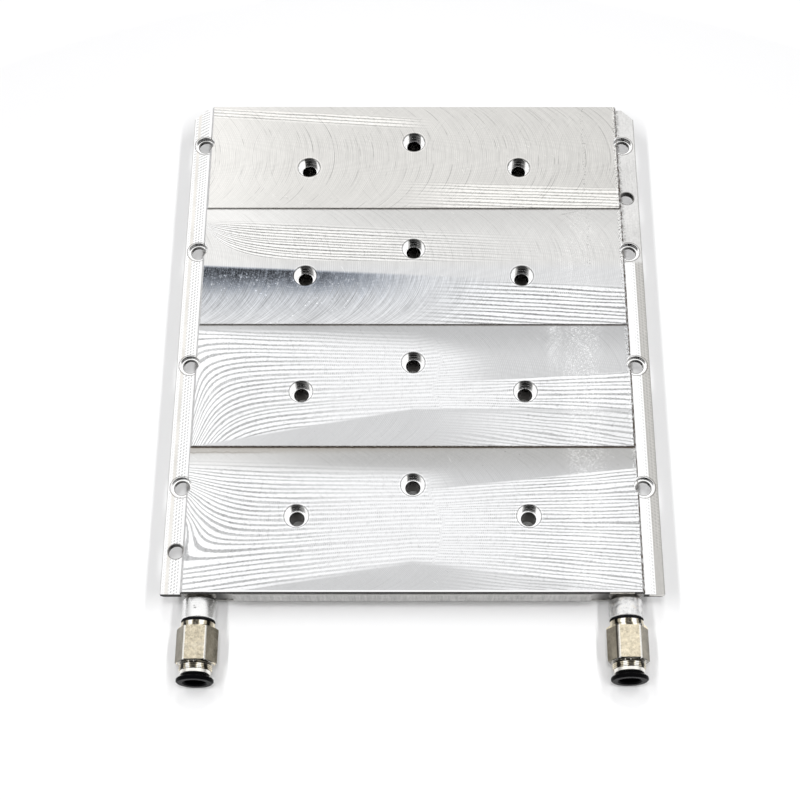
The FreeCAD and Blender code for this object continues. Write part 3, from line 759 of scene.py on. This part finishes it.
for side in ("left", "right"):
    t0 = 4.864
    prof = [(-6.5, 2.9), (-6.5, t0 - 0.6), (-5.9, t0), (0.95, t0), (0.95, 6.1), (1.25, 6.4), (3.0, 6.4)]
    rest = [(17.0, 5.72), (17.0, 5.85), (17.55, 5.85), (17.75, 6.3), (18.2, 6.3), (18.32, 6.2), (18.44, 6.3),
            (18.9, 6.3), (19.02, 6.2), (19.14, 6.3), (19.35, 6.3), (19.6, 6.05), (19.6, 5.6), (9.0, 5.6), (9.0, 4.05),
            (5.5, 4.05), (5.5, 2.9)]
    start_part = rounded(prof + [(3.0, 6.9)], 0.08)[:-4]
    ends = [3.0 + 0.055 * i for i in range(18)]
    hexes = [(d, 7.5) for d in ends] + [(4.6 + 11.0 * i / 14.0 - 0.0, 7.5) for i in range(1, 14)] \
        + [(20.0 - d, 7.5) for d in reversed(ends)]
    hexes = [h for h in hexes if 3.0 <= h[0] <= 17.0]
    end_part = rounded([(17.0, 6.9)] + rest + [(-6.5, 2.9)], 0.06)[4:-4]
    body_o = lathe(side + "_fitting_detail", start_part + hexes + end_part, side, brass, 360, fitting_shape,
                   smooth_angle=24.0)
    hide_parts(side + "_fitting_body")

    # port stub, with the dents and smears of the real one
    wall = STUB_END[side] + 109.1
    sgn = 1 if side == "right" else -1

    def stub_shape(d, r, th, sgn=sgn):
        if r < 6.2 or d < wall + 2.5:
            return r
        p = Vector((math.cos(th) * 2.2, math.sin(th) * 2.2, d * 0.45 + sgn * 9.0))
        n = mnoise.fractal(p, 1.0, 2.0, 4)
        if sgn > 0:
            return r - 0.10 + n * 0.10
        c = math.degrees(th) - 97.0
        dent = 0.32 * math.exp(-((d + 3.9) / 0.55) ** 2 - (c / 7.0) ** 2)
        return r - 0.012 + n * 0.012 - dent

    rows = [(wall + 2.6 + (-2.85 - wall) * i / 34.0, 6.5) for i in range(1, 34)]
    cone = [(wall + 2.6 - 2.6 * i / 12.0, 6.5 - 1.8 * i / 12.0) for i in range(12)]
    outline = rounded([(0.0, t0 + 0.4), (0.0, 6.25), (-0.25, 6.5)], 0.06)[4:] + [(d, 6.5) for d, _ in reversed(rows)] + cone + \
        rounded([(wall, 4.7), (wall, 4.4), (wall - 3.0, 4.4), (wall - 3.0, 2.9), (-7.3, 2.9), (-7.3, t0),
                 (-0.4, t0), (0.0, t0 + 0.4)], 0.05)
    stub_o = lathe(side + "_stub_detail", outline, side, stub, 200, stub_shape)
    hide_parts(side + "_port_stub")


# ---------------------------------------------------------------- burrs and braze
def burr_material():
    mat, bsdf, P, x, y, z, nx, ny, nz = start("burr_metal")
    m_ = noise(P, 0.9, 5.0, 0.75)
    col = mixc(step(m_, 0.38, 0.60), (0.10, 0.082, 0.066), (0.62, 0.60, 0.56))
    put(bsdf.inputs["Base Color"], col)
    bsdf.inputs["Metallic"].default_value = 1.0
    put(bsdf.inputs["Roughness"], 0.42 + m_ * 0.2)
    put(bsdf.inputs["Normal"], bump(m_, 0.05, 1.0))
    return mat


def braze_material():
    mat, bsdf, P, x, y, z, nx, ny, nz = start("braze_metal")
    m_ = noise(P, 0.6, 5.0, 0.7)
    col = mixc(step(m_, 0.35, 0.65), (0.12, 0.112, 0.10), (0.40, 0.39, 0.37))
    put(bsdf.inputs["Base Color"], col)
    bsdf.inputs["Metallic"].default_value = 1.0
    put(bsdf.inputs["Roughness"], 0.40 + m_ * 0.2)
    put(bsdf.inputs["Normal"], bump(m_, 0.08, 1.0))
    return mat


burr_mat = burr_material()
braze_mat = braze_material()


def ribbon(name, a, b_, out_dir, up_dir, size, seed, pitch=0.35, mat=None, floor_amp=0.15, freq=0.8):
    """A ragged bead along the straight line a..b, standing out by up to size (mm)."""
    a, b_ = Vector(a), Vector(b_)
    out_dir, up_dir = Vector(out_dir).normalized(), Vector(up_dir).normalized()
    n = max(2, int((b_ - a).length / pitch))
    verts, faces = [], []
    for i in range(n + 1):
        p = a.lerp(b_, i / n)
        s_ = i * pitch
        h = mnoise.fractal(Vector((s_ * freq, seed * 7.3, 0.0)), 0.8, 2.1, 4)
        k = mnoise.noise(Vector((s_ * freq * 2.3, seed * 3.1, 5.0)))
        amp = size * max(floor_amp, 0.45 + 0.75 * h)
        sh = 0.25 * size * k
        if i in (0, n):
            amp *= 0.15
        verts += [p - up_dir * (0.25 * size + 0.02) - out_dir * 0.05,
                  p + out_dir * amp + up_dir * sh * 0.5,
                  p + out_dir * amp * 0.7 + up_dir * (0.45 * amp + sh),
                  p + up_dir * 0.25 * amp - out_dir * 0.05]
    for i in range(n):
        for k in range(4):
            l = (k + 1) % 4
            faces.append((i * 4 + k, i * 4 + l, (i + 1) * 4 + l, (i + 1) * 4 + k))
    faces += [(0, 1, 2, 3), tuple(n * 4 + k for k in (3, 2, 1, 0))]
    return add_object(name, [tuple(v_) for v_ in verts], faces, mat or burr_mat, "plate", 60.0)


for i, (ys, sz) in enumerate(((59.0, 0.14), (3.4, 0.16), (-50.9, 0.26))):
    o = ribbon("step_burr_%d" % (i + 1), (-87.0, ys, 17.84), (87.0, ys, 17.84), (0, -1, 0), (0, 0, 1), sz, i + 1)
o = ribbon("right_edge_burr", (87.75, -110.8, 16.85), (87.75, 110.8, 16.85), (0.7, 0, 0.7), (-0.7, 0, 0.7), 0.34, 5, 0.4, freq=0.5)
o = ribbon("left_edge_burr", (-88.0, -110.8, 16.75), (-88.0, 110.8, 16.75), (-0.7, 0, 0.7), (0.7, 0, 0.7), 0.12, 6, 0.4, freq=0.5)
for i, (p, q_, d) in enumerate((((-87.4, -109.0, 3.0), (-87.4, 111.0, 3.0), (-1, 0, 0)), ((87.4, -109.0, 3.0), (87.4, 111.0, 3.0), (1, 0, 0)),
                                ((-87.4, -109.1, 3.0), (87.4, -109.1, 3.0), (0, -1, 0)), ((-87.3, 110.62, 3.0), (87.3, 110.62, 3.0), (0, 1, 0)))):
    o = ribbon("braze_bead_%d" % (i + 1), p, q_, d, (0, 0, 1), 0.32, 11 + i, 0.5, braze_mat, 0.35, 0.25)
for side in ("left", "right"):
    w0 = STUB_END[side] + 109.1

    def weld_shape(d, r, th, s_=side):
        if r < 5.2:
            return r
        rip = 0.16 * math.sin(th * 26 + 1.2 * math.sin(th * 3)) + 0.35 * mnoise.fractal(Vector((math.cos(th) * 2, math.sin(th) * 2, 3.0 if s_ == "left" else 8.0)), 1.0, 2.0, 3)
        return 5.1 + (r - 5.1) * (1.0 + rip * 0.5)
    weld = lathe(side + "_stub_weld", [(w0 + 0.02, 4.65), (w0 + 0.80, 5.15), (w0 + 0.70, 5.40), (w0 + 0.45, 5.70),
                                       (w0 + 0.25, 6.05), (w0 + 0.02, 6.25)], side, braze_mat, 220, weld_shape)

# ---------------------------------------------------------------- floor
me = bpy.data.meshes.new("floor")
me.from_pydata([(-3, -3, -5e-5), (3, -3, -5e-5), (3, 3, -5e-5), (-3, 3, -5e-5)], [], [(0, 1, 2, 3)])
floor = bpy.data.objects.new("floor", me)
bpy.context.scene.collection.objects.link(floor)
mat = bpy.data.materials.new("floor")
mat.use_nodes = True
b = mat.node_tree.nodes["Principled BSDF"]
b.inputs["Base Color"].default_value = (0.915, 0.915, 0.92, 1)
b.inputs["Roughness"].default_value = 0.6
b.inputs["Specular IOR Level"].default_value = 0.2
me.materials.append(mat)

# ---------------------------------------------------------------- light
world = bpy.data.worlds.new("studio")
bpy.context.scene.world = world
world.use_nodes = True
S.tree = world.node_tree
S.tree.nodes.clear()
out = S.tree.nodes.new("ShaderNodeOutputWorld")
bg = S.tree.nodes.new("ShaderNodeBackground")
S.tree.links.new(bg.outputs[0], out.inputs[0])
tc = S.tree.nodes.new("ShaderNodeTexCoord")
sep = S.tree.nodes.new("ShaderNodeSeparateXYZ")
S.tree.links.new(tc.outputs["Generated"], sep.inputs[0])
wx, wy, wz = S(sep.outputs[0]), S(sep.outputs[1]), S(sep.outputs[2])
# bright above, dimmer low down, and one dark place where the camera and the person behind it stand
front_dir = wy * -0.4226 + wz * 0.9063
lum = 0.42 + step(wz, 0.0, 0.70) * 0.70
lum = lum * (1.0 - step(front_dir, 0.93, 0.975) * 0.93)
put(bg.inputs["Color"], grey(lum, (1.0, 1.0, 1.0)))
lp = S.tree.nodes.new("ShaderNodeLightPath")
put(bg.inputs["Strength"], 1.0 - S(lp.outputs["Is Diffuse Ray"]) * 0.84)


def area(name, at, target, size, power_w, size_y=None):
    d = bpy.data.lights.new(name, "AREA")
    d.shape = "RECTANGLE"
    d.size = size
    d.size_y = size_y or size
    d.energy = power_w
    o = bpy.data.objects.new(name, d)
    bpy.context.scene.collection.objects.link(o)
    o.location = at
    o.rotation_euler = (Vector(target) - Vector(at)).to_track_quat("-Z", "Y").to_euler()
    o.visible_glossy = False
    return o


area("soft_left", (-0.50, -0.20, 1.10), (0, -0.20, 0), 1.1, 6.6, 0.09)
area("soft_right", (0.50, -0.20, 1.10), (0, -0.20, 0), 1.1, 6.6, 0.09)
area("soft_back", (0.0, 0.48, 1.10), (0, 0, 0), 0.14, 1.5)
area("soft_top", (0.0, -0.22, 1.20), (0, 0, 0), 0.20, 2.9)
